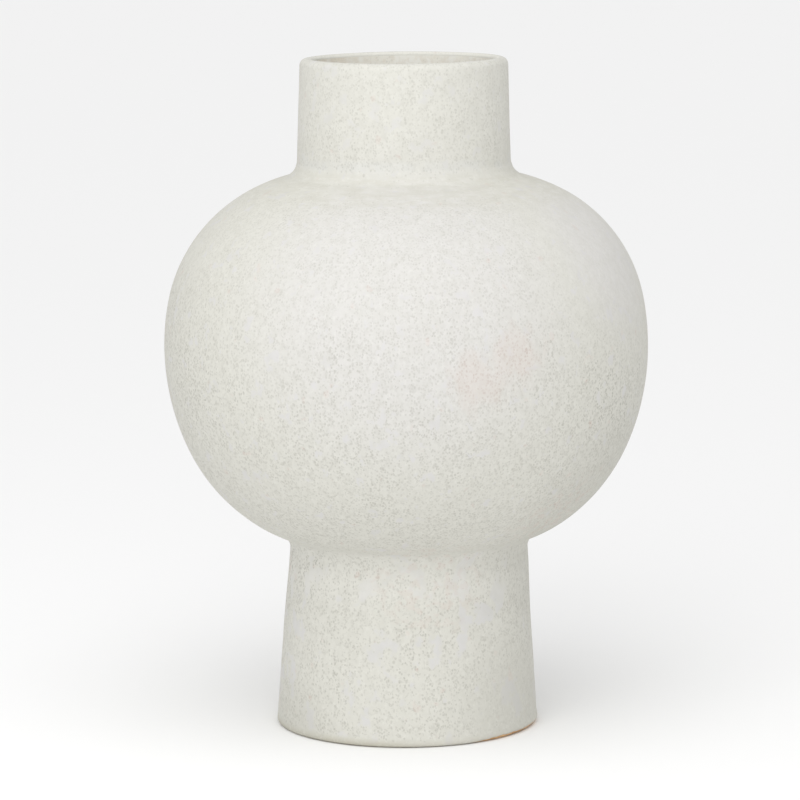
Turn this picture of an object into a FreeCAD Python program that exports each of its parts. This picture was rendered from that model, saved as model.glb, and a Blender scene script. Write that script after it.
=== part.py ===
"""Stoneware pottery vase.

Four thrown clay sections are luted together with V joints: a hollow tapered foot,
the two halves of the round body and a collar neck. An outer glaze covers the joined
pot down to a bare foot ring, and a liner glaze coats the inside.
All sizes are millimetres. +Z is up, and the origin is the centre of the foot on the floor.
"""
import FreeCAD
import Part
import math
import os

os.makedirs("parts", exist_ok=True)

# Overall
HEIGHT = 300.0          # floor to the top of the lip
GLAZE = 0.4             # thickness of each glaze coat
WALL = 6.2              # body wall, glaze to glaze

# Round body: tangent arcs either side of a belly arc
BELLY_R = 108.3         # widest radius
BELLY_Z = 171.3         # height of the widest point
BELLY_ARC = 109.5       # radius of the arc through the widest point
UPPER_ARCS = [          # (radius of the next arc, degrees above level where it takes over)
    (69.5, 11.0),
    (78.7, 62.1),
]
LOWER_ARCS = [          # (radius of the next arc, degrees below level where it takes over)
    (80.7, 24.0),
    (62.4, 54.7),
]

# Neck: a collar that closes in slightly towards the lip
NECK_BASE_R = 48.0
NECK_BASE_Z = 245.0
NECK_TOP_R = 46.4
NECK_TOP_Z = 296.8
NECK_BLEND = 8.1        # outside curve from neck into body
NECK_BLEND_IN = 14.0    # the same curve on the inside
MOUTH_R = 41.0          # plain bore of the mouth, over the liner glaze
LIP_OUT = 3.2           # rounding on the outside of the lip
LIP_IN = 1.8            # rounding on the inside of the lip

# Foot: a hollow cone that flares towards the floor
FOOT_BASE_R = 58.9
FOOT_BASE_Z = 2.5
FOOT_TOP_R = 53.6
FOOT_TOP_Z = 80.0
FOOT_BLEND = 7.0        # outside curve from foot into body
FOOT_BLEND_IN = 13.0    # the same curve on the inside
FOOT_WALL = 6.6         # foot wall, glaze to glaze
FOOT_EDGE = 2.3         # rounding of the clay at the floor
FLOOR_Z = 10.0          # inside floor of the vase
FLOOR_CORNER = 9.0      # curve from inside floor to foot wall
RING_IN_R = 50.2        # inner edge of the standing ring
RECESS = 3.0            # depth turned out under the foot
GLAZE_END = 40.0        # how far round the floor edge the outer glaze runs, degrees below level

# Luted joints: (height, radius of the middle of the V)
FOOT_JOINT = (80.0, 50.4)
BELLY_JOINT = (BELLY_Z, BELLY_R - WALL / 2)
NECK_JOINT = (250.5, 45.4)
V_HALF = 1.5            # half width of the V tongue
V_DEPTH = 1.4           # depth of the V tongue

V = FreeCAD.Vector
AXIS = V(0, 0, 1)


def pt(r, z):
    return V(r, 0, z)


def unit(angle):
    return pt(math.cos(angle), math.sin(angle))


def angle_of(v):
    return math.atan2(v.z, v.x)


def arc(centre, radius, start, end):
    """Arc edge from one angle to another, measured from +X towards +Z."""
    middle = (start + end) / 2
    ends = [centre + unit(a) * radius for a in (start, middle, end)]
    return Part.Arc(*ends).toShape()


def line(a, b):
    return Part.LineSegment(a, b).toShape()


def first(edge):
    return edge.valueAt(edge.FirstParameter)


def last(edge):
    return edge.valueAt(edge.LastParameter)


def body_arcs(steps, sign):
    """Arcs from the belly towards one end: (centre, radius, start angle, end angle)."""
    centre = pt(BELLY_R - BELLY_ARC, BELLY_Z)
    radius = BELLY_ARC
    start = 0.0
    arcs = []
    for next_radius, degrees in steps:
        end = sign * math.radians(degrees)
        arcs.append((centre, radius, start, end))
        centre = centre + unit(end) * (radius - next_radius)
        radius = next_radius
        start = end
    arcs.append((centre, radius, start, None))
    return arcs


def straight(r0, z0, r1, z1, inset=0.0):
    """Straight wall moved in by inset: (point, upward direction, outward normal)."""
    up = (pt(r1, z1) - pt(r0, z0)).normalize()
    out = pt(up.z, -up.x)
    return pt(r0, z0) - out * inset, up, out


def at_height(wall, z):
    point, up, out = wall
    return point + up * ((z - point.z) / up.z)


def blend_centre(wall, centre, radius, blend, upper):
    """Centre of the curve that touches a straight wall and a body arc from outside."""
    point, up, out = wall
    base = point + out * blend - centre
    along = base.dot(up)
    root = math.sqrt(along ** 2 - base.dot(base) + (radius + blend) ** 2)
    step = -along + root if upper else -along - root
    return centre + base + up * step


UPPER = body_arcs(UPPER_ARCS, 1)
LOWER = body_arcs(LOWER_ARCS, -1)
NECK = straight(NECK_BASE_R, NECK_BASE_Z, NECK_TOP_R, NECK_TOP_Z)
FOOT = straight(FOOT_BASE_R, FOOT_BASE_Z, FOOT_TOP_R, FOOT_TOP_Z)
BORE = straight(MOUTH_R, NECK_BASE_Z, MOUTH_R, NECK_TOP_Z)
FOOT_IN = straight(FOOT_BASE_R, FOOT_BASE_Z, FOOT_TOP_R, FOOT_TOP_Z, FOOT_WALL)
LIP_IN_CENTRE = pt(MOUTH_R + LIP_IN, HEIGHT - LIP_IN)


def touch(wall, z, radius):
    """Centre of a rounding inside a straight wall, at height z."""
    return at_height(wall, z) - pt(radius / wall[2].x, 0)


def side(foot_wall, foot_blend, neck_wall, neck_blend, inset, change):
    """Body side from the foot blend to the neck blend.

    inset moves the body arcs in from the glazed outside; change is added to both
    blend radii, so that coats stay parallel.
    """
    low_centre, low_radius = LOWER[-1][:2]
    top_centre, top_radius = UPPER[-1][:2]
    reach = inset - change
    foot_c = blend_centre(foot_wall, low_centre, low_radius - reach, foot_blend, False)
    neck_c = blend_centre(neck_wall, top_centre, top_radius - reach, neck_blend, True)
    foot_in = angle_of(foot_wall[2] * -1)
    foot_out = angle_of(low_centre - foot_c)
    neck_in = angle_of(top_centre - neck_c)
    neck_out = angle_of(neck_wall[2] * -1)
    foot_in += 2 * math.pi * (foot_in < 0)
    foot_out += 2 * math.pi * (foot_out < 0)
    neck_in += 2 * math.pi * (neck_in < 0)
    neck_out += 2 * math.pi * (neck_out < 0)
    edges = [arc(foot_c, foot_blend + change, foot_in, foot_out)]
    for centre, radius, start, end in reversed(LOWER):
        if end is None:
            end = angle_of(foot_c - centre)
        edges.append(arc(centre, radius - inset, end, start))
    for centre, radius, start, end in UPPER:
        if end is None:
            end = angle_of(neck_c - centre)
        edges.append(arc(centre, radius - inset, start, end))
    edges.append(arc(neck_c, neck_blend + change, neck_in, neck_out))
    return edges


def outside(depth, start):
    """Outside of the pot, depth below the glaze, from the foot's edge over the lip.

    start is the angle on the rounding of the foot's edge where the outline begins.
    """
    body = side(FOOT, FOOT_BLEND, NECK, NECK_BLEND, depth, depth)
    edge_c = touch(FOOT, FOOT_EDGE, FOOT_EDGE + GLAZE)
    edge = arc(edge_c, FOOT_EDGE + GLAZE - depth, math.radians(start), angle_of(FOOT[2]))
    lip_c = touch(NECK, HEIGHT - LIP_OUT, LIP_OUT)
    lip = arc(lip_c, LIP_OUT - depth, angle_of(NECK[2]), math.pi / 2)
    crown = LIP_IN_CENTRE + pt(0, LIP_IN - depth)
    edges = [edge, line(last(edge), first(body[0]))] + body
    edges += [line(last(body[-1]), first(lip)), lip, line(last(lip), crown)]
    edges.append(arc(LIP_IN_CENTRE, LIP_IN - depth, math.pi / 2, math.pi))
    return edges


def inside(depth):
    """Inside of the pot, depth below the liner glaze, from the mouth to the floor centre."""
    body = side(FOOT_IN, FOOT_BLEND_IN, BORE, NECK_BLEND_IN, WALL - depth, -depth)
    corner_c = touch(FOOT_IN, FLOOR_Z + FLOOR_CORNER, FLOOR_CORNER)
    wall_angle = angle_of(FOOT_IN[2])
    corner = arc(corner_c, FLOOR_CORNER + depth, -math.pi / 2, wall_angle)
    floor = line(pt(0, FLOOR_Z - depth), first(corner))
    mouth = line(last(body[-1]), pt(MOUTH_R + depth, HEIGHT - LIP_IN))
    return [floor, corner, line(last(corner), first(body[0]))] + body + [mouth]


def turn(edges):
    """Solid turned from a closed outline about the upright axis."""
    wire = Part.Wire(Part.__sortEdges__(edges))
    return Part.Face(wire).revolve(V(0, 0, 0), AXIS, 360)


def coat(outer, inner):
    """Coat between two outlines that run the same way."""
    ends = [line(first(outer[0]), first(inner[0])), line(last(outer[-1]), last(inner[-1]))]
    return turn(outer + inner + ends)


def clay_body():
    """All the clay, before it is parted at the luted joints."""
    outer = outside(GLAZE, -90.0)
    inner = inside(GLAZE)
    cove = arc(pt(RING_IN_R - RECESS, 0), RECESS, 0, math.pi / 2)
    under = [line(first(inner[0]), pt(0, RECESS)), line(pt(0, RECESS), last(cove))]
    ring = [cove, line(first(cove), first(outer[0]))]
    return turn(under + ring + outer + inner)


def joint_line(joint):
    """Corner points of a luted joint: level, with a V tongue in the middle of the wall."""
    z, r = joint
    return [pt(0, z), pt(r - V_HALF, z), pt(r, z - V_DEPTH), pt(r + V_HALF, z), pt(2 * BELLY_R, z)]


def part_between(clay, low, high):
    """The clay between two joints; None leaves that end open."""
    under = joint_line(low) if low else [pt(0, -HEIGHT), pt(2 * BELLY_R, -HEIGHT)]
    over = joint_line(high) if high else [pt(0, 2 * HEIGHT), pt(2 * BELLY_R, 2 * HEIGHT)]
    corners = under + over[::-1]
    edges = [line(a, b) for a, b in zip(corners, corners[1:] + corners[:1])]
    return clay.common(turn(edges)).removeSplitter().Solids[0]


clay = clay_body()
nodes = {
    "foot_section": part_between(clay, None, FOOT_JOINT),
    "bulb_lower": part_between(clay, FOOT_JOINT, BELLY_JOINT),
    "bulb_upper": part_between(clay, BELLY_JOINT, NECK_JOINT),
    "neck_collar": part_between(clay, NECK_JOINT, None),
    "outer_glaze": coat(outside(0.0, -GLAZE_END), outside(GLAZE, -GLAZE_END)),
    "liner_glaze": coat(inside(0.0), inside(GLAZE)),
}

for name, shape in nodes.items():
    shape.exportStep("parts/" + name + ".step")
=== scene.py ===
"""Looks of the stoneware vase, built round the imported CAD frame. Metres, +Z up, front at -Y."""

import math

import bpy
import numpy as np
from mathutils import Euler, Matrix, Vector, noise
from mathutils.bvhtree import BVHTree


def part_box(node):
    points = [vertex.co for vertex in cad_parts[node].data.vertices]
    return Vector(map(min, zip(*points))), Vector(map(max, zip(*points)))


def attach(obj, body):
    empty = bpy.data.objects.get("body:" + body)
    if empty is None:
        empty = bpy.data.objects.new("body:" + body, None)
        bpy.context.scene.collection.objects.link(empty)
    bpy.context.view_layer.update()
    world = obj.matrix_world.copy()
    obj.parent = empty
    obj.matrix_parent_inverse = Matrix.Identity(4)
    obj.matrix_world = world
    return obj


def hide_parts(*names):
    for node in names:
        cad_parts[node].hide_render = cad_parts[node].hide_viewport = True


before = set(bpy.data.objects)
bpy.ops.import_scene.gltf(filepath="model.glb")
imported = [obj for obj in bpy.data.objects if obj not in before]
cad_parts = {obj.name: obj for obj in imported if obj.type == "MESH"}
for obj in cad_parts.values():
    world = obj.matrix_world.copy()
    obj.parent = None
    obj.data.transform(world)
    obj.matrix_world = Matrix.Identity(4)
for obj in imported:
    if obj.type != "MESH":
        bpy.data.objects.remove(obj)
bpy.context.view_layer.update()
MM = 0.001

# Camera: a long lens a little above the vase, looking slightly down on it
CAMERA_DISTANCE = 1.791
CAMERA_HEIGHT = 0.4125
CAMERA_SIDE = -0.0029
CAMERA_PITCH = math.radians(8.457)
CAMERA_ROLL = math.radians(-0.37)
CAMERA_LENS = 181.5

# Meshes
AROUND = 256                 # points round the vase
ROW_STEP = 1.7 * MM          # longest step along an outline
GLAZE = 0.4 * MM             # thickness of each glaze coat
MOUTH_R = 41.0 * MM          # where the two glazes meet inside the lip
BAKE_MAP = "OFBake"          # name of the texture map wrapped round the outer glaze
UNDER_ROWS = 4               # the hidden side of a glaze has one row for this many outside

CLAY_NODES = ["foot_section", "bulb_lower", "bulb_upper", "neck_collar"]
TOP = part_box("outer_glaze")[1].z
NECK_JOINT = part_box("neck_collar")[0].z
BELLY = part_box("bulb_lower")[1].z
FOOT_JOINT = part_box("foot_section")[1].z

# The thrown sections sit a little off each other's axis: (height, sideways, depth)
OFF_AXIS = [
    (0.0, -0.50 * MM, -0.20 * MM),
    (0.55 * FOOT_JOINT, -0.15 * MM, 0.0),
    (FOOT_JOINT, 0.75 * MM, 0.25 * MM),
    (FOOT_JOINT + 0.35 * (BELLY - FOOT_JOINT), 0.40 * MM, 0.10 * MM),
    (BELLY, 0.0, 0.0),
    (NECK_JOINT - 14 * MM, 0.35 * MM, -0.10 * MM),
    (NECK_JOINT + 6 * MM, -0.50 * MM, 0.20 * MM),
    (TOP, -0.30 * MM, 0.10 * MM),
]
LIP_DIP = 0.25 * MM          # how much lower the lip is on the left
LIP_WAVE = 0.12 * MM         # waviness of the lip's height

# Where the glaze's look changes, and where light or shade is painted on it, as points on the vase
LEFT_CHEEK = (-0.104, -0.030, 0.165)
RIGHT_CHEEK = (0.090, -0.055, 0.158)
BLUSH_HIGH = (0.048, -0.097, 0.179)
BLUSH_LOW = (0.029, -0.104, 0.169)
PINK_CREASE = (0.010, -0.053, 0.074)
MOUTH = (0.0, 0.0, TOP - 1.8 * MM)
COOL_BELLY = (0.000, -0.098, 0.205)
BARE_HEEL = (0.052, -0.030, 0.000)
LEFT_ANKLE = (-0.050, -0.018, 0.070)
LEFT_HEEL = (-0.050, -0.030, 0.000)
RIGHT_UNDERSIDE = (0.090, -0.030, 0.092)
PINK_UNDERSIDE = (0.060, -0.045, 0.106)
TAN_STAIN = (-0.034, 0.020, 0.296)
RIGHT_SHOULDER = (0.088, -0.040, 0.222)
RIGHT_HEEL = (0.048, -0.035, 0.012)


def smoothstep(low, high, x):
    t = np.clip((x - low) / (high - low), 0, 1)
    return t * t * (3 - 2 * t)


def smooth_through(knots, values, at):
    """Smooth curve through given values, level at each of them."""
    knots = np.array(knots)
    values = np.array(values)
    i = np.clip(np.searchsorted(knots, at) - 1, 0, len(knots) - 2)
    t = smoothstep(0, 1, (at - knots[i]) / (knots[i + 1] - knots[i]))
    return values[i] + (values[i + 1] - values[i]) * t


def handmade(points):
    """Moves points as the hands that made the pot did: off-axis sections and a wavy lip."""
    heights = [knot[0] for knot in OFF_AXIS]
    z = points[:, 2]
    side = smooth_through(heights, [knot[1] for knot in OFF_AXIS], z)
    depth = smooth_through(heights, [knot[2] for knot in OFF_AXIS], z)
    angle = np.arctan2(points[:, 1], points[:, 0])
    near_lip = smoothstep(NECK_JOINT, TOP, z)
    dip = LIP_DIP * (1 - np.cos(angle)) / 2 + LIP_WAVE * (1 + np.sin(3 * angle + 0.8)) / 2
    return points + np.stack([side, depth, -dip * near_lip], axis=1)


# ---------------------------------------------------------------- outlines from the frame

def turned_points(name):
    """Distinct (r, z) of a turned node's vertices."""
    same = 0.01 * MM
    co = np.array([v.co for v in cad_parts[name].data.vertices])
    rz = np.stack([np.hypot(co[:, 0], co[:, 1]), co[:, 2]], axis=1)
    return np.unique(np.round(rz / same).astype(int), axis=0) * same


def clay_trees():
    """The clay sections' surfaces, for measuring distances to them."""
    trees = []
    for name in CLAY_NODES:
        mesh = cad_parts[name].data
        corners = [v.co.copy() for v in mesh.vertices]
        trees.append(BVHTree.FromPolygons(corners, [tuple(p.vertices) for p in mesh.polygons]))
    return trees


def free_outline(name, trees):
    """The side of a glaze that faces the air, as (r, z) in order from its lowest point."""
    left = []
    for r, z in turned_points(name):
        gaps = [tree.find_nearest(Vector((r, 0, z)))[3] for tree in trees]
        if min(gaps) > 0.8 * GLAZE:
            left.append((r, z))
    chain = [min(left, key=lambda p: (round(p[1], 5), p[0]))]
    left.remove(chain[0])
    while left:
        near = min(left, key=lambda p: math.dist(p, chain[-1]))
        left.remove(near)
        chain.append(near)
    return np.array(chain)


class Outline:
    """Smooth curve through outline points. Straight runs stay straight (Akima slopes)."""

    def __init__(self, points):
        steps = np.linalg.norm(np.diff(points, axis=0), axis=1)
        self.points = points
        self.at = np.concatenate([[0], np.cumsum(steps)])
        chords = np.diff(points, axis=0) / steps[:, None]
        ends = [2 * chords[0] - chords[1], 2 * chords[-1] - chords[-2]]
        chords = np.vstack([chords[:1], ends[0], chords, ends[1], chords[-1:]])
        turn = np.linalg.norm(np.diff(chords, axis=0), axis=1) + 1e-9
        before = turn[:-2][:, None]
        after = turn[2:][:, None]
        self.slopes = (after * chords[1:-2] + before * chords[2:-1]) / (after + before)

    @property
    def length(self):
        return self.at[-1]

    def rows(self, step):
        """Places along the curve that keep every outline point and are at most step apart."""
        places = [0.0]
        for a, b in zip(self.at, self.at[1:]):
            count = max(1, math.ceil((b - a) / step))
            places += list(a + (b - a) * np.arange(1, count + 1) / count)
        return np.array(places)

    def __call__(self, at):
        """(r, z) and outward normal (r, z) at the given places."""
        i = np.clip(np.searchsorted(self.at, at) - 1, 0, len(self.at) - 2)
        h = (self.at[i + 1] - self.at[i])[..., None]
        t = (at - self.at[i])[..., None] / h
        p, q = self.points[i], self.points[i + 1]
        m, n = self.slopes[i] * h, self.slopes[i + 1] * h
        place = ((2 * t - 3) * t * t + 1) * p + ((t - 2) * t + 1) * t * m
        place = place + (3 - 2 * t) * t * t * q + (t - 1) * t * t * n
        slope = 6 * t * (t - 1) * (p - q) + ((3 * t - 4) * t + 1) * m + (3 * t - 2) * t * n
        slope = slope / np.linalg.norm(slope, axis=-1, keepdims=True)
        return place, np.stack([slope[..., 1], -slope[..., 0]], axis=-1)


# ---------------------------------------------------------------- meshes

def unevenness(points, size, amount):
    """Smooth noise at each point, from -amount to amount, with bumps about size across."""
    scale = 1 / size
    return amount * np.array([noise.noise(Vector(p) * scale) for p in points])


def lathe(name, rings, crease_rows=(), closed=False):
    """Mesh through rings of points, an array (row, around, 3), sharp along the crease rows.

    A closed lathe's last ring is joined to its first.
    """
    rows, around, _ = rings.shape
    index = np.arange(rows * around).reshape(rows, around)
    low = index if closed else index[:-1]
    high = np.roll(index, -1, axis=0) if closed else index[1:]
    faces = np.stack([low, np.roll(low, -1, 1), np.roll(high, -1, 1), high], axis=-1).reshape(-1, 4)
    mesh = bpy.data.meshes.new(name)
    mesh.from_pydata(rings.reshape(-1, 3).tolist(), [], faces.tolist())
    mesh.validate()
    mesh.polygons.foreach_set("use_smooth", np.ones(len(mesh.polygons), bool))
    sharp = np.zeros(len(mesh.edges), bool)
    ends = np.empty(len(mesh.edges) * 2, int)
    mesh.edges.foreach_get("vertices", ends)
    ring_of = (ends // around).reshape(-1, 2)
    for row in crease_rows:
        sharp |= (ring_of == row).all(axis=1)
    mesh.attributes.new("sharp_edge", "BOOLEAN", "EDGE").data.foreach_set("value", sharp)
    mesh.update()
    piece = bpy.data.objects.new(name, mesh)
    bpy.context.scene.collection.objects.link(piece)
    return piece


def spin(place, angles):
    """Points (row, around, 3) from (r, z) places (row, around, 2)."""
    x = place[..., 0] * np.cos(angles)
    y = place[..., 0] * np.sin(angles)
    return np.stack([x, y, np.broadcast_to(place[..., 1], x.shape)], axis=-1)


def finished(piece, node):
    """Puts a piece on the vase's body in place of a CAD node."""
    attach(piece, "root")
    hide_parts(node)
    return piece


def wrap_texture(piece, rings, seen):
    """Texture map wrapped once round a closed lathe. The seen rings get most of its height."""
    rows, around, _ = rings.shape
    steps = np.linalg.norm(np.diff(rings, axis=0), axis=2).mean(axis=1)
    along = np.concatenate([[0], np.cumsum(steps)])
    edge = along[seen - 1]
    hidden = 0.965 + 0.03 * (along - edge) / (along[-1] - edge)
    v = np.where(np.arange(rows) < seen, 0.96 * along / edge, hidden)[:, None]
    v_next = np.append(v[1:, 0], 1.0)[:, None]
    u = np.arange(around)[None] / around
    u_next = u + 1 / around
    corners = [(u, v), (u_next, v), (u_next, v_next), (u, v_next)]
    places = [np.stack(np.broadcast_arrays(*corner), axis=-1) for corner in corners]
    layer = piece.data.uv_layers.new(name=BAKE_MAP)
    layer.data.foreach_set("uv", np.stack(places, axis=2).ravel())


def run_on(points, reach):
    """An outline made longer at its start, round the circle through its first points."""
    p, q, r = points[0], points[2], points[4]
    sides = 2 * np.array([q - p, r - p])
    centre = np.linalg.solve(sides, np.array([q @ q - p @ p, r @ r - p @ p]))
    arm = p - centre
    back = np.sign(arm[0] * (q - p)[1] - arm[1] * (q - p)[0])
    turns = -back * np.array([1.0, 0.5]) * reach / np.linalg.norm(arm)
    cos, sin = np.cos(turns), np.sin(turns)
    more = centre + np.stack([arm[0] * cos - arm[1] * sin, arm[0] * sin + arm[1] * cos], axis=1)
    return np.vstack([more, points])


def glaze_line(angles):
    """How far up the foot's edge the outer glaze stops: least at the left, most at the right front."""
    turn = np.stack([np.cos(angles), np.sin(angles), np.zeros_like(angles)], axis=1)
    slow = np.array([noise.noise(Vector(t) * 1.7 + Vector((3, 1, 7))) for t in turn])
    quick = np.array([noise.noise(Vector(t) * 21 + Vector((5, 9, 2))) for t in turn])
    right = smoothstep(0.72, 0.92, np.cos(angles + 0.35))
    return (0.12 + 1.40 * right + 0.15 * slow + 0.40 * quick * (0.25 + right)).clip(0.02) * MM


def hidden_rows(count):
    """Which of a coat's rows its hidden side has, from the last to the first."""
    return np.unique(np.concatenate([[0], np.arange(count - 1, 0, -UNDER_ROWS)]))[::-1]


def make_outer_glaze(trees):
    """Outer coat, as one closed shell: bead at the foot, slow unevenness, rounded lip."""
    curve = Outline(run_on(free_outline("outer_glaze", trees), 0.45 * MM))
    angles = np.linspace(0, 2 * np.pi, AROUND, endpoint=False)
    rows = curve.rows(ROW_STEP)
    close_rows = np.array([0, 0.04, 0.12, 0.25, 0.42, 0.65, 0.95, 1.3, 1.8]) * MM
    from_edge = np.concatenate([close_rows, rows[rows > 2.2 * MM]])
    raised = glaze_line(angles) * (1 - smoothstep(0, 9 * MM, from_edge))[:, None]
    place, normal = curve(np.minimum(from_edge[:, None] + raised, curve.length))
    roll = np.sqrt(1 - (1 - np.clip(from_edge / (0.6 * MM), 0, 1)) ** 2)
    bead = 0.10 * MM * np.exp(-((from_edge - 1.1 * MM) / (0.8 * MM)) ** 2)
    flat = spin(place, angles).reshape(-1, 3)
    uneven = unevenness(flat, 34 * MM, 0.10 * MM) + unevenness(flat, 11 * MM, 0.028 * MM)
    uneven = uneven.reshape(len(from_edge), AROUND) - 0.12 * MM
    ends = smoothstep(0, 4 * MM, curve.length - from_edge) * smoothstep(0, 5 * MM, from_edge)
    lift = ((roll - 1) * GLAZE + bead)[:, None] + uneven * ends[:, None]
    outer = spin(place + normal * lift[..., None], angles)
    under = spin((place - normal * GLAZE)[hidden_rows(len(from_edge))], angles)
    last = len(from_edge) - 1
    rings = np.concatenate([outer, under])
    piece = lathe("glaze_outside", rings, crease_rows=(0, last, last + 1, len(rings) - 1), closed=True)
    wrap_texture(piece, rings, len(from_edge))
    return settle(piece)


def make_liner_glaze(trees):
    """Inner coat, from the middle of the inside floor up to the lip."""
    curve = Outline(free_outline("liner_glaze", trees))
    angles = np.linspace(0, 2 * np.pi, AROUND, endpoint=False)
    rows = curve.rows(2 * ROW_STEP)
    rows[0] = 0.5 * MM
    place, normal = curve(np.repeat(rows[:, None], AROUND, axis=1))
    flat = spin(place, angles).reshape(-1, 3)
    uneven = unevenness(flat, 30 * MM, 0.15 * MM).reshape(len(rows), AROUND)
    throwing = 0.16 * MM * np.sin(2 * np.pi * place[..., 1] / (9 * MM) + angles)
    ends = (smoothstep(0, 30 * MM, curve.length - rows) * smoothstep(0, 20 * MM, rows))[:, None]
    lift = ((uneven + throwing) * 0.5 + 0.08 * MM) * ends
    inner = spin(place + normal * lift[..., None], angles)
    under = spin((place + normal * GLAZE)[hidden_rows(len(rows))], angles)
    last = len(rows) - 1
    rings = np.concatenate([inner, under])
    piece = lathe("glaze_inside", rings, crease_rows=(last, last + 1))
    close_ends(piece, AROUND, len(rings))
    piece.data.flip_normals()    # its seen side faces the axis, so the lathe makes it inside out
    return settle(piece)


def close_ends(piece, around, rows):
    """Fills the first and last ring of a lathe with a fan."""
    mesh = piece.data
    count = len(mesh.vertices)
    bottom = sum((mesh.vertices[i].co for i in range(around)), Vector()) / around
    start = (rows - 1) * around
    top = sum((mesh.vertices[i].co for i in range(start, start + around)), Vector()) / around
    corners = [tuple(v.co) for v in mesh.vertices] + [tuple(bottom), tuple(top)]
    faces = [tuple(p.vertices) for p in mesh.polygons]
    sharp = {tuple(sorted(e.vertices)) for e in mesh.edges if e.use_edge_sharp}
    for i in range(around):
        j = (i + 1) % around
        faces.append((j, i, count))
        faces.append((start + i, start + j, count + 1))
    mesh.clear_geometry()
    mesh.from_pydata(corners, [], faces)
    mesh.polygons.foreach_set("use_smooth", np.ones(len(mesh.polygons), bool))
    for edge in mesh.edges:
        edge.use_edge_sharp = tuple(sorted(edge.vertices)) in sharp
    mesh.update()


def settle(piece):
    """Gives a finished piece the sections' off-axis seat, the same for every piece."""
    mesh = piece.data
    co = np.empty(len(mesh.vertices) * 3)
    mesh.vertices.foreach_get("co", co)
    mesh.vertices.foreach_set("co", handmade(co.reshape(-1, 3)).ravel())
    mesh.update()
    return piece


def make_hidden_clay(name):
    """A clay section that the glazes cover, with the same seat as they have."""
    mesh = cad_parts[name].data.copy()
    mesh.materials.clear()
    piece = bpy.data.objects.new(name + "_clay", mesh)
    bpy.context.scene.collection.objects.link(piece)
    return settle(piece)


def foot_outline():
    """Foot section's outline, (r, z) from under the middle round the wall to the inside floor.

    Seen from the corner where wall and floor meet, its points come in order of angle.
    """
    rz = turned_points("foot_section")
    corner = np.array([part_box("foot_section")[1].x - 4.5 * MM, 5 * MM])
    rz = rz[np.argsort(np.arctan2(rz[:, 1] - corner[1], rz[:, 0] - corner[0]))]
    return np.vstack([[0.5 * MM, rz[0, 1]], rz, [0.5 * MM, rz[-1, 1]]])


def make_foot_clay():
    """Foot section with turning marks under the foot and a slightly worn standing ring."""
    outline = foot_outline()
    recess = outline[0, 1]
    points = [outline[0]]
    for a, b in zip(outline, outline[1:]):
        step = 0.7 * MM if max(a[1], b[1]) < recess + 0.1 * MM else 6 * MM
        count = max(1, math.ceil(math.dist(a, b) / step))
        points += [a + (b - a) * k / count for k in range(1, count + 1)]
    points = np.array(points)
    angles = np.linspace(0, 2 * np.pi, AROUND, endpoint=False)
    rings = spin(np.repeat(points[:, None], AROUND, axis=1), angles)
    r = points[:, None, 0]
    z = points[:, None, 1]
    under = (z < recess + 0.1 * MM) & (z > recess - 0.1 * MM)
    spiral = np.sin(2 * np.pi * r / (2.9 * MM) + angles) * 0.09 * MM
    centre = 0.5 * MM * np.exp(-(r / (7 * MM)) ** 2)
    rings[..., 2] -= np.where(under, 0.1 * MM + spiral + centre, 0)
    flat = rings.reshape(-1, 3)
    wear = unevenness(flat, 6 * MM, 0.12 * MM) + unevenness(flat, 1.7 * MM, 0.06 * MM)
    on_ring = z < 0.05 * MM
    rings[..., 2] += np.where(on_ring, wear.reshape(rings.shape[:2]).clip(0), 0)
    piece = lathe("foot_clay", rings)
    close_ends(piece, AROUND, len(rings))
    return settle(piece)


# ---------------------------------------------------------------- materials

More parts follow.
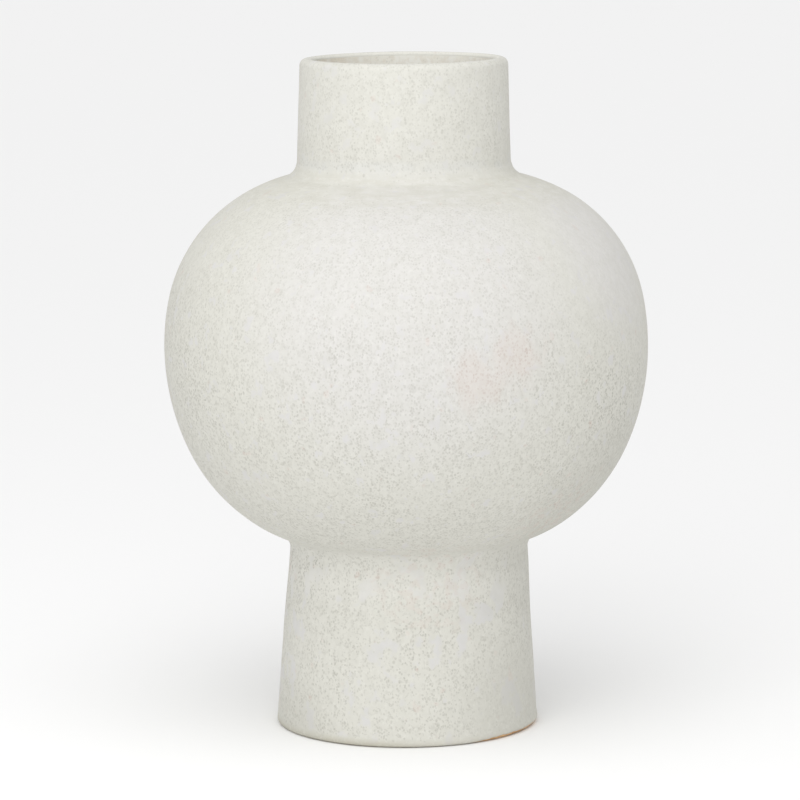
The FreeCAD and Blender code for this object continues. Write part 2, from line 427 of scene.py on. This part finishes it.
class Graph:
    """Short names for the nodes of one material. Sizes are in metres."""

    def __init__(self, name):
        self.material = bpy.data.materials.new(name)
        self.material.use_nodes = True
        self.tree = self.material.node_tree
        self.shader = self.tree.nodes["Principled BSDF"]
        self.place = self.node("ShaderNodeTexCoord").outputs["Object"]

    def node(self, kind, **settings):
        made = self.tree.nodes.new(kind)
        for key, value in settings.items():
            setattr(made, key, value)
        return made

    def put(self, socket, value):
        """Gives an input a constant, or links another node's output to it."""
        if isinstance(value, bpy.types.NodeSocket):
            self.tree.links.new(value, socket)
        else:
            socket.default_value = value

    def math(self, operation, *values, clamp=False):
        made = self.node("ShaderNodeMath", operation=operation, use_clamp=clamp)
        for socket, value in zip(made.inputs, values):
            self.put(socket, value)
        return made.outputs[0]

    def add(self, a, b):
        return self.math("ADD", a, b)

    def times(self, a, b):
        return self.math("MULTIPLY", a, b)

    def noise(self, size, detail=2.0, roughness=0.5, place=None, colour=False):
        made = self.node("ShaderNodeTexNoise")
        self.put(made.inputs["Vector"], place or self.place)
        made.inputs["Scale"].default_value = 1 / size
        made.inputs["Detail"].default_value = detail
        made.inputs["Roughness"].default_value = roughness
        return made.outputs["Color" if colour else "Fac"]

    def cells(self, size, place=None):
        """Distance to the nearest cell's middle, as a share of the cell size, and two random values."""
        made = self.node("ShaderNodeTexVoronoi", feature="F1")
        self.put(made.inputs["Vector"], place or self.place)
        made.inputs["Scale"].default_value = 1 / size
        split = self.node("ShaderNodeSeparateColor")
        self.put(split.inputs[0], made.outputs["Color"])
        return made.outputs["Distance"], split.outputs[0], split.outputs[1]

    def ramp(self, value, low, high, start=0.0, end=1.0):
        """Goes smoothly from start to end as value goes from low to high."""
        made = self.node("ShaderNodeMapRange", interpolation_type="SMOOTHSTEP")
        for socket, part in zip(made.inputs, (value, low, high, start, end)):
            self.put(socket, part)
        return made.outputs[0]

    def mix(self, share, a, b):
        made = self.node("ShaderNodeMix", data_type="RGBA")
        self.put(made.inputs["Factor"], share)
        self.put(made.inputs["A"], a)
        self.put(made.inputs["B"], b)
        return made.outputs["Result"]

    def stretched(self, taller):
        """The place, scaled so that a pattern on it comes out that much taller."""
        scaled = self.node("ShaderNodeVectorMath", operation="MULTIPLY")
        self.put(scaled.inputs[0], self.place)
        scaled.inputs[1].default_value = (1.0, 1.0, 1 / taller)
        return scaled.outputs[0]

    def shifted(self, size, amount, place=None):
        """The place, pushed about by noise."""
        place = place or self.place
        wander = self.noise(size, 1.0, place=place, colour=True)
        centred = self.node("ShaderNodeVectorMath", operation="SUBTRACT")
        self.put(centred.inputs[0], wander)
        centred.inputs[1].default_value = (0.5, 0.5, 0.5)
        scaled = self.node("ShaderNodeVectorMath", operation="SCALE")
        self.put(scaled.inputs[0], centred.outputs[0])
        scaled.inputs["Scale"].default_value = 2 * amount
        moved = self.node("ShaderNodeVectorMath", operation="ADD")
        self.put(moved.inputs[0], place)
        self.put(moved.inputs[1], scaled.outputs[0])
        return moved.outputs[0]

    def height(self):
        """Height above the floor."""
        split = self.node("ShaderNodeSeparateXYZ")
        self.put(split.inputs[0], self.place)
        return split.outputs["Z"]

    def gap(self, centre):
        """Distance from a point on the vase."""
        made = self.node("ShaderNodeVectorMath", operation="DISTANCE")
        self.put(made.inputs[0], self.place)
        made.inputs[1].default_value = centre
        return made.outputs["Value"]

    def near(self, centre, radius, softness):
        """1 near a point, fading to 0 over softness."""
        return self.ramp(self.gap(centre), radius, radius + softness, 1.0, 0.0)

    def band(self, height, reach, softness):
        """1 within reach of a height, fading to 0 over softness."""
        off = self.math("ABSOLUTE", self.math("SUBTRACT", self.height(), height))
        return self.ramp(off, reach, reach + softness, 1.0, 0.0)

    def bump(self, height, depth):
        """Fine relief, depth deep where height goes from 0 to 1."""
        made = self.node("ShaderNodeBump")
        made.inputs["Distance"].default_value = depth
        made.inputs["Strength"].default_value = 1.0
        self.put(made.inputs["Height"], height)
        self.put(self.shader.inputs["Normal"], made.outputs[0])


def colour(red, green, blue):
    """Screen colour, 0 to 255, as the linear colour that shaders take."""
    parts = [c / 255 for c in (red, green, blue)]
    return tuple(c / 12.92 if c < 0.04045 else ((c + 0.055) / 1.055) ** 2.4 for c in parts) + (1.0,)


def specks(g, size, radius, share, place):
    """Round specks, one in each cell of that size with a chance of share. Returns their ink."""
    distance, chance, depth = g.cells(size, place)
    dot = g.ramp(distance, 0.5 * radius / size, 1.25 * radius / size, 1.0, 0.0)
    present = g.ramp(g.math("SUBTRACT", share, chance), 0.0, 0.06)
    ink = g.ramp(depth, 0.0, 1.0, 0.62, 0.94)
    return g.times(g.times(dot, present), ink)


def speckled_zone(g):
    """1 where the glaze is speckled, and less on the smooth bands at the neck, crease and floor."""
    wander = g.add(g.height(), g.times(g.math("SUBTRACT", g.noise(14 * MM), 0.5), 6 * MM))
    under_neck = g.math("SUBTRACT", wander, NECK_JOINT - 2 * MM)
    crease = g.math("SUBTRACT", wander, FOOT_JOINT + 6.5 * MM)
    neck_band = g.ramp(g.math("ABSOLUTE", under_neck), 3 * MM, 9 * MM, 0.12, 1.0)
    crease_band = g.ramp(g.math("ABSOLUTE", crease), 1 * MM, 4 * MM, 0.4, 1.0)
    floor_band = g.ramp(wander, 2 * MM, 6 * MM)
    return g.times(g.times(neck_band, crease_band), floor_band)


def speck_strength(g):
    """How dark the specks are: most on the cheeks and low down, least on the right shoulder and heel."""
    strength = g.ramp(g.height(), 100 * MM, 235 * MM, 1.5, 1.0)
    darker = [
        (LEFT_CHEEK, 24 * MM, 35 * MM, 0.65),
        (RIGHT_CHEEK, 10 * MM, 40 * MM, 0.7),
        (LEFT_ANKLE, 10 * MM, 22 * MM, 0.5),
    ]
    for place, radius, softness, more in darker:
        strength = g.add(strength, g.times(g.near(place, radius, softness), more))
    fainter = [
        (RIGHT_SHOULDER, 20 * MM, 55 * MM, 0.35),
        (RIGHT_HEEL, 10 * MM, 30 * MM, 0.45),
    ]
    for place, radius, softness, share in fainter:
        strength = g.times(strength, g.ramp(g.near(place, radius, softness), 0.0, 1.0, 1.0, share))
    runs = g.ramp(g.noise(3.5 * MM, 1.0, 0.5, g.stretched(5)), 0.35, 0.65, 0.82, 1.2)
    clouds = g.ramp(g.noise(28 * MM, 2.0), 0.3, 0.7, 0.85, 1.15)
    return g.times(strength, g.times(runs, clouds))


def blush(g):
    """Where iron in the clay tints the glaze pink: one soft patch, and spots, most at the crease."""
    edge = g.times(g.math("SUBTRACT", g.noise(6 * MM, 2.0, 0.6, g.stretched(2)), 0.5), 22 * MM)
    reach = g.math("MINIMUM", g.gap(BLUSH_HIGH), g.gap(BLUSH_LOW))
    patch = g.ramp(g.add(reach, edge), 5 * MM, 16 * MM, 0.8, 0.0)
    spots = g.ramp(g.noise(6 * MM, 1.0), 0.70, 0.76, 0.0, 0.7)
    crease = g.add(g.near(PINK_CREASE, 12 * MM, 22 * MM), g.near(PINK_UNDERSIDE, 12 * MM, 22 * MM))
    crease = g.times(crease, g.ramp(g.noise(4 * MM, 1.0), 0.50, 0.64, 0.0, 0.7))
    return g.math("MAXIMUM", g.math("MAXIMUM", patch, spots), crease)


def glaze_body(g, speckled):
    """The glaze's ground colour: cooler in the clear islands and high up, paler at the neck, and painted
    light on the foot just under the crease.
    """
    warmth = g.ramp(g.add(speckled, g.noise(5 * MM)), 0.3, 1.3)
    body = g.mix(warmth, colour(208, 207, 205), colour(210, 209, 201))
    belly = g.near(COOL_BELLY, 35 * MM, 60 * MM)
    shoulder = g.near(RIGHT_SHOULDER, 15 * MM, 40 * MM)
    body = g.mix(g.times(g.math("MAXIMUM", belly, shoulder), 0.55), body, colour(210, 208, 208))
    neck = g.ramp(g.height(), NECK_JOINT + 2 * MM, NECK_JOINT + 8 * MM, 0.0, 0.4)
    body = g.mix(neck, body, colour(217, 216, 209))
    # painted light: paler on the foot just under the crease, lifting the belly's shade there
    painted_light_under_crease = g.times(g.band(FOOT_JOINT - 6 * MM, 3 * MM, 13 * MM), 0.5)
    return g.mix(painted_light_under_crease, body, colour(224, 223, 216))


def neck_joint_highlight_and_brush_lines(g, body):
    """Along the neck joint: a patchy pale line just above it, which is a painted highlight, and brush
    lines below.
    """
    # painted highlight: a patchy pale line on the neck just above the joint
    painted_highlight = g.ramp(g.noise(9 * MM, 3.0, 0.6), 0.4, 0.6)
    painted_highlight = g.times(painted_highlight, g.band(NECK_JOINT + 5.5 * MM, 1 * MM, 3 * MM))
    body = g.mix(g.times(painted_highlight, 0.35), body, colour(218, 219, 218))
    lines = g.ramp(g.noise(9 * MM, 2.0, 0.6, g.stretched(0.14)), 0.35, 0.65, 0.0, 0.4)
    lines = g.times(lines, g.band(NECK_JOINT - 4 * MM, 3 * MM, 6 * MM))
    return g.mix(lines, body, colour(196, 194, 183))


def painted_shade_low_down(g, body):
    """Painted shade low down: an olive darkening along the floor edge, most at the left heel, and darker
    patches on the heel's sides and the right underside.
    """
    # painted shade: darker along the foot's edge at the floor, strongest at the left heel
    heel_shade = g.ramp(g.near(LEFT_HEEL, 35 * MM, 40 * MM), 0.0, 1.0, 0.45, 1.0)
    heel_shade = g.times(heel_shade, g.ramp(g.height(), 1 * MM, 5 * MM, 1.0, 0.0))
    body = g.mix(heel_shade, body, colour(188, 185, 171))
    # painted shade: darker patches on the heel's sides and the right underside of the belly
    shade = g.math("MAXIMUM", g.near(LEFT_HEEL, 8 * MM, 25 * MM), g.near(RIGHT_HEEL, 10 * MM, 35 * MM))
    shade = g.math("MAXIMUM", shade, g.near(RIGHT_UNDERSIDE, 30 * MM, 40 * MM))
    return g.mix(g.times(shade, 0.35), body, colour(184, 183, 174))


def outside_islands(g, run, on_foot):
    """0 in the clear islands, 1 outside them. The foot's are larger than the rest."""
    small = g.noise(6 * MM, 3.0, 0.6, run)
    broad = g.noise(14 * MM, 3.0, 0.6, run)
    pattern = g.add(g.times(small, g.math("SUBTRACT", 1.0, on_foot)), g.times(broad, on_foot))
    return g.ramp(g.add(pattern, g.times(on_foot, -0.065)), 0.35, 0.43)


def speck_ink(g, run, on_foot, speckled):
    """Specks in winding chains: fine ones, larger ones where they are strong, and faint threads."""
    ridge = g.math("ABSOLUTE", g.math("SUBTRACT", g.noise(3.2 * MM, 1.0, 0.5, run), 0.5))
    chains = g.ramp(ridge, 0.03, 0.10, 1.0, g.ramp(on_foot, 0.2, 0.7, 0.45, 0.25))
    share = g.times(g.times(g.ramp(speckled, 0.0, 1.0, 0.05, 1.0), chains), speckled_zone(g))
    strength = speck_strength(g)
    wandering = g.shifted(1.4 * MM, 0.42 * MM, run)
    fine = specks(g, 1.0 * MM, 0.49 * MM, share, wandering)
    heavy = g.times(share, g.ramp(strength, 1.0, 1.6, 0.0, 0.7))
    large = specks(g, 2.2 * MM, 0.68 * MM, heavy, wandering)
    threads = g.times(g.ramp(g.noise(1.6 * MM, 1.0, 0.5, run), 0.50, 0.66, 0.0, 0.40), share)
    return g.times(g.math("MAXIMUM", g.math("MAXIMUM", fine, large), threads), strength)


def outer_glaze_material():
    """Dry off-white glaze with fine grey specks in winding chains and clear islands.

    The melt ran down a little, so the specks' pattern is a little taller than wide.
    """
    g = Graph("outer_glaze")
    run = g.stretched(1.25)
    on_foot = g.ramp(g.height(), FOOT_JOINT - 5 * MM, FOOT_JOINT + 15 * MM, 0.7, 0.2)
    speckled = outside_islands(g, run, on_foot)
    ink = speck_ink(g, run, on_foot, speckled)
    body = painted_shade_low_down(g, neck_joint_highlight_and_brush_lines(g, glaze_body(g, speckled)))
    flecks = g.ramp(g.noise(1.3 * MM, 1.0, 0.5, run), 0.50, 0.75, 0.0, 0.22)
    body = g.mix(g.times(flecks, speckled), body, colour(226, 226, 220))
    mottle = g.ramp(g.noise(4.5 * MM, 2.0, 0.6), 0.35, 0.7, 0.0, 0.2)
    body = g.mix(mottle, body, colour(193, 192, 183))
    pink = blush(g)
    body = g.mix(g.times(pink, 0.26), body, colour(206, 189, 180))
    ink_colour = g.mix(pink, colour(157, 155, 145), colour(174, 144, 132))
    body = g.mix(g.times(ink, 0.28), body, ink_colour)
    # the lip's inside edge turns to the liner's pale colour, which is painted light like the liner's
    in_lip = g.ramp(g.gap(MOUTH), MOUTH_R + 0.3 * MM, MOUTH_R + 1.6 * MM, 0.4, 0.0)
    body = g.mix(in_lip, body, colour(232, 231, 223))
    g.put(g.shader.inputs["Base Color"], body)
    g.shader.inputs["Specular IOR Level"].default_value = 0.2
    g.put(g.shader.inputs["Roughness"], g.ramp(g.noise(3 * MM, 2.0), 0.3, 0.7, 0.64, 0.8))
    relief = g.add(g.times(g.noise(1.0 * MM, 1.0, 0.6), 0.3), g.times(g.noise(5 * MM, 1.0), 0.8))
    g.bump(g.add(relief, g.times(ink, -0.25)), 0.05 * MM)
    return g.material


def liner_material():
    """The same glaze inside: paler and glossier, with soft blotches and a tan stain at the left. The
    paleness is painted light that lifts the shade inside the mouth.
    """
    g = Graph("liner_glaze")
    speckled = g.ramp(g.noise(9 * MM, 3.0, 0.6), 0.42, 0.56)
    ink = specks(g, 1.2 * MM, 0.46 * MM, g.times(speckled, 0.75), g.shifted(1.4 * MM, 0.42 * MM))
    blotches = g.ramp(g.noise(3 * MM, 2.0, 0.6), 0.42, 0.65, 0.0, 0.5)
    # painted light: much paler than the outside glaze, to lift the shade inside the mouth
    body = g.mix(speckled, colour(235, 234, 227), colour(233, 231, 222))
    stain = g.ramp(g.noise(6 * MM, 2.0), 0.35, 0.6, 0.3, 1.0)
    stain = g.times(stain, g.near(TAN_STAIN, 8 * MM, 20 * MM))
    body = g.mix(g.times(stain, 0.6), body, colour(224, 215, 198))
    body = g.mix(blotches, body, colour(221, 215, 203))
    body = g.mix(g.times(ink, 0.20), body, colour(156, 153, 141))
    g.put(g.shader.inputs["Base Color"], body)
    g.shader.inputs["Specular IOR Level"].default_value = 0.3
    g.put(g.shader.inputs["Roughness"], g.ramp(g.noise(4 * MM, 2.0), 0.3, 0.7, 0.5, 0.66))
    g.bump(g.add(g.times(g.noise(1.0 * MM), 0.4), g.noise(5 * MM)), 0.06 * MM)
    return g.material


def clay_material():
    """Bare fired stoneware: buff with grog and iron spots, and washed pale but at the right front. The
    pale wash is partly glaze left on the clay and partly painted light that lifts the shade where the
    foot meets the floor.
    """
    g = Graph("bare_clay")
    patches = g.ramp(g.noise(9 * MM, 4.0, 0.6), 0.35, 0.65)
    body = g.mix(patches, colour(220, 184, 139), colour(192, 152, 110))
    # pale everywhere but at the right front: partly glaze left on the clay, partly painted light against
    # the shade at the floor
    bare = g.ramp(g.gap(BARE_HEEL), 22 * MM, 34 * MM, 1.0, 0.1)
    body = g.mix(bare, colour(222, 217, 200), body)
    distance, chance, _ = g.cells(0.9 * MM)
    grog = g.times(g.ramp(distance, 0.15, 0.4, 1.0, 0.0), g.ramp(chance, 0.62, 0.7))
    body = g.mix(g.times(grog, 0.5), body, colour(226, 206, 176))
    iron = specks(g, 2.6 * MM, 0.28 * MM, g.ramp(g.noise(7 * MM), 0.4, 0.6, 0.05, 0.4), g.place)
    body = g.mix(g.times(iron, 0.8), body, colour(104, 68, 46))
    g.put(g.shader.inputs["Base Color"], body)
    g.shader.inputs["Specular IOR Level"].default_value = 0.25
    g.put(g.shader.inputs["Roughness"], g.ramp(g.noise(2 * MM), 0.3, 0.7, 0.78, 0.92))
    g.bump(g.add(g.noise(0.5 * MM, 3.0, 0.7), g.times(grog, 0.5)), 0.08 * MM)
    return g.material


def floor_material():
    """Plain pale grey, close to white."""
    g = Graph("studio_floor")
    g.shader.inputs["Base Color"].default_value = (0.92, 0.92, 0.92, 1.0)
    g.shader.inputs["Roughness"].default_value = 0.9
    g.shader.inputs["Specular IOR Level"].default_value = 0.1
    return g.material


# ---------------------------------------------------------------- studio

def make_floor():
    mesh = bpy.data.meshes.new("studio_floor")
    reach = 14.0
    corners = [(-reach, -reach, 0), (reach, -reach, 0), (reach, reach, 0), (-reach, reach, 0)]
    mesh.from_pydata(corners, [], [(0, 1, 2, 3)])
    floor = bpy.data.objects.new("studio_floor", mesh)
    bpy.context.scene.collection.objects.link(floor)
    mesh.materials.append(floor_material())


def soft_sun(name, azimuth, elevation, strength, spread):
    """Even soft light from far away. Azimuth 0 is the front, and 90 is the right."""
    light = bpy.data.lights.new(name, "SUN")
    light.energy = strength
    light.angle = math.radians(spread)
    lamp = bpy.data.objects.new(name, light)
    lamp.rotation_euler = Euler((math.radians(90 - elevation), 0, math.radians(azimuth)))
    bpy.context.scene.collection.objects.link(lamp)


def softbox(name, azimuth, elevation, power):
    """Square lamp, 0.8 m across and 1.1 m from the vase. Azimuth 0 is the front."""
    light = bpy.data.lights.new(name, "AREA")
    light.energy = power
    light.size = 0.8
    lamp = bpy.data.objects.new(name, light)
    lamp.rotation_euler = Euler((math.radians(90 - elevation), 0, math.radians(azimuth)))
    lamp.location = lamp.rotation_euler.to_matrix() @ Vector((0, 0, 1.1)) + Vector((0, 0, TOP / 2))
    bpy.context.scene.collection.objects.link(lamp)


def make_lights():
    softbox("key", -15, 30, 3.8)
    soft_sun("overhead", 0, 65, 0.8, 60)
    world = bpy.data.worlds.new("studio")
    world.use_nodes = True
    world.node_tree.nodes["Background"].inputs["Color"].default_value = (1.0, 1.0, 1.0, 1.0)
    world.node_tree.nodes["Background"].inputs["Strength"].default_value = 0.74
    bpy.context.scene.world = world
    view = bpy.context.scene.view_settings
    view.view_transform = "Standard"
    view.look = "None"
    view.exposure = 0.0


def make_camera():
    data = bpy.data.cameras.new("camera")
    data.lens = CAMERA_LENS
    data.sensor_width = 36.0
    data.clip_end = 60.0
    camera = bpy.data.objects.new("camera", data)
    turn = Euler((math.pi / 2 - CAMERA_PITCH, 0, 0)).to_matrix() @ Matrix.Rotation(CAMERA_ROLL, 3, "Z")
    place = Matrix.Translation((CAMERA_SIDE, -CAMERA_DISTANCE, CAMERA_HEIGHT))
    camera.matrix_world = place @ turn.to_4x4()
    bpy.context.scene.collection.objects.link(camera)
    bpy.context.scene.camera = camera


def main():
    make_camera()
    make_lights()
    make_floor()
    trees = clay_trees()
    outside = finished(make_outer_glaze(trees), "outer_glaze")
    outside.data.materials.append(outer_glaze_material())
    inside = finished(make_liner_glaze(trees), "liner_glaze")
    inside.data.materials.append(liner_material())
    clay = clay_material()
    foot = finished(make_foot_clay(), "foot_section")
    foot.data.materials.append(clay)
    for name in CLAY_NODES[1:]:
        section = finished(make_hidden_clay(name), name)
        section.data.materials.append(clay)


main()
